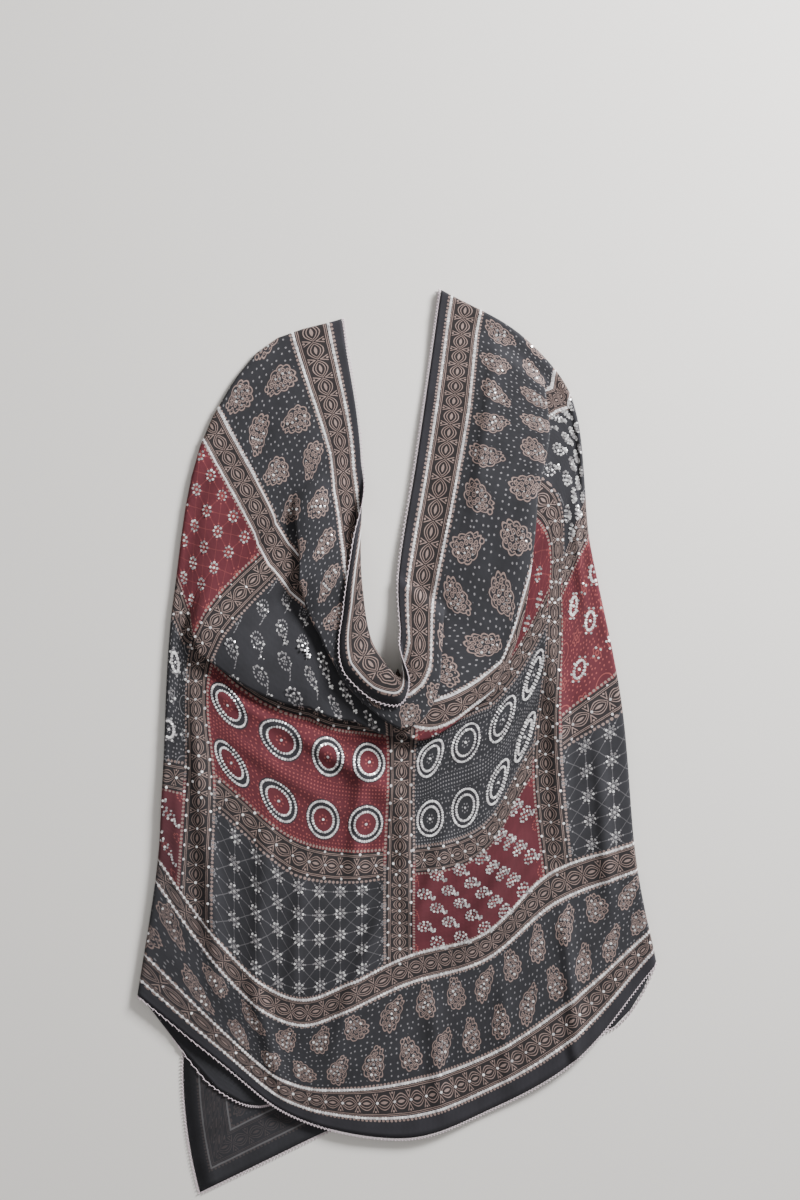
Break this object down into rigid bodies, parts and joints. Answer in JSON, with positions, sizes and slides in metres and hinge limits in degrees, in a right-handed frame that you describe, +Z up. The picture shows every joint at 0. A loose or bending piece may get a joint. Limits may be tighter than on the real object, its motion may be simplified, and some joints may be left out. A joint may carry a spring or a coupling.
{
  "type": "block-printed cotton shawl, laid out",
  "caption": "Ajrakh block-printed shawl with sequins, laid out flat with a V neckline, cowl pleats and both ends folded under.",
  "frame": {"origin": "on the surface that the cloth lies on, under the middle of its box", "axes": "+Z up, off the surface; +Y towards the neck edge, from the hem; +X to the right seen from above with the neck edge away"},
  "size_m": [0.9238, 1.6083, 0.0514],
  "materials": {
    "cloth": "matte"
  },
  "bodies": {
    "root": {"shawl": "cloth"}
  },
  "joints": []
}
